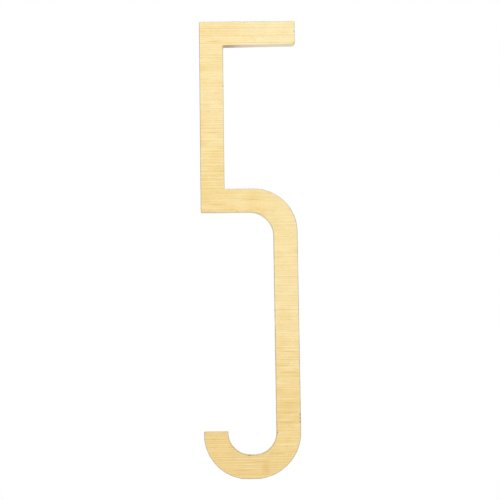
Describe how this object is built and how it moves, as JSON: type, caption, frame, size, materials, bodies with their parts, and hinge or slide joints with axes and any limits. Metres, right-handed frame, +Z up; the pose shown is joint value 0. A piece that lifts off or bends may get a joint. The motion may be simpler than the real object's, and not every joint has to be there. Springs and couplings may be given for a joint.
{
  "type": "door number",
  "caption": "Slim flat numeral five cut from brushed brass plate, square at the top with a rounded bowl and hook, fixed by its plain back to a door or wall to show a house number.",
  "frame": {"origin": "on the back face, at half the width between the upper stem's left edge and the bowl's right edge, on the line that the numeral's foot stands on", "axes": "+Z up the numeral, +Y out of the back face into the door, +X to the reader's right, so the front face looks along -Y"},
  "size_m": [0.0323, 0.003, 0.152],
  "materials": {
    "brushed_brass": "brushed across the face, plain cut sides"
  },
  "bodies": {
    "root": {"numeral_five": "brushed_brass"}
  },
  "joints": []
}
